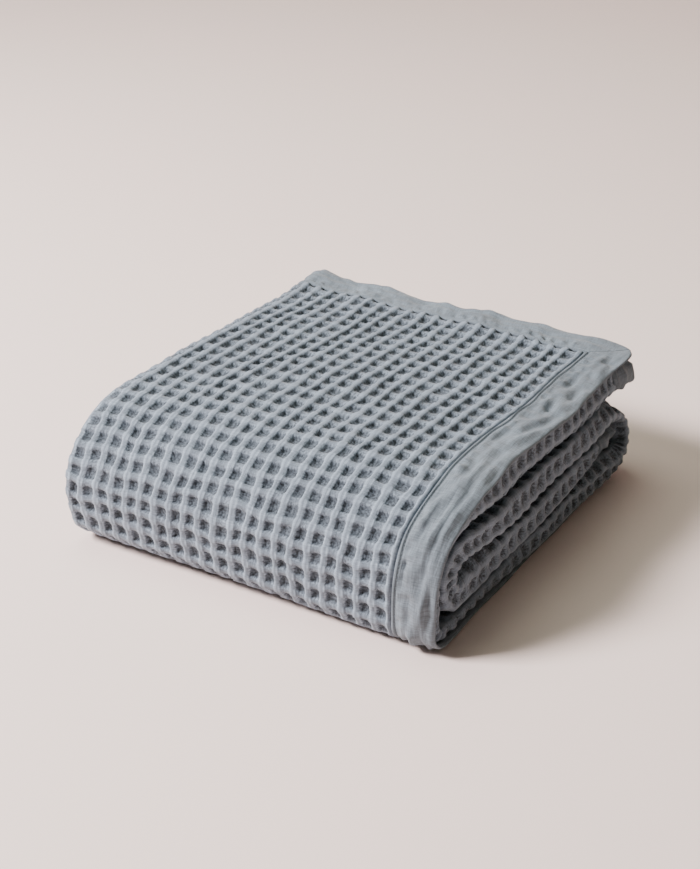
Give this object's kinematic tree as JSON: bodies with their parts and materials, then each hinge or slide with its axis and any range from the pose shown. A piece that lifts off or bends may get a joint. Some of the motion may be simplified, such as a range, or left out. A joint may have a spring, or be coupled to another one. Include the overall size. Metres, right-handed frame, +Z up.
{
  "type": "folded linen waffle blanket",
  "caption": "Blue-grey linen waffle blanket with plain bound edges, folded in thirds and rolled into a soft rectangular stack that lies flat.",
  "frame": {"origin": "centre of the bounding box on the floor, under the folded stack", "axes": "+Z up, +Y to the back where the top leaf ends, +X to the side where the bound edge shows"},
  "size_m": [0.4356, 0.4756, 0.1511],
  "materials": {
    "waffle_linen": "matt blue-grey washed linen in a deep waffle weave",
    "binding_linen": "matt blue-grey plain-woven linen, softly creased"
  },
  "bodies": {
    "root": {"waffle_panel": "waffle_linen", "side_binding_outer": "binding_linen", "side_binding_inner": "binding_linen", "end_binding_outer": "binding_linen", "end_binding_inner": "binding_linen"}
  },
  "joints": []
}
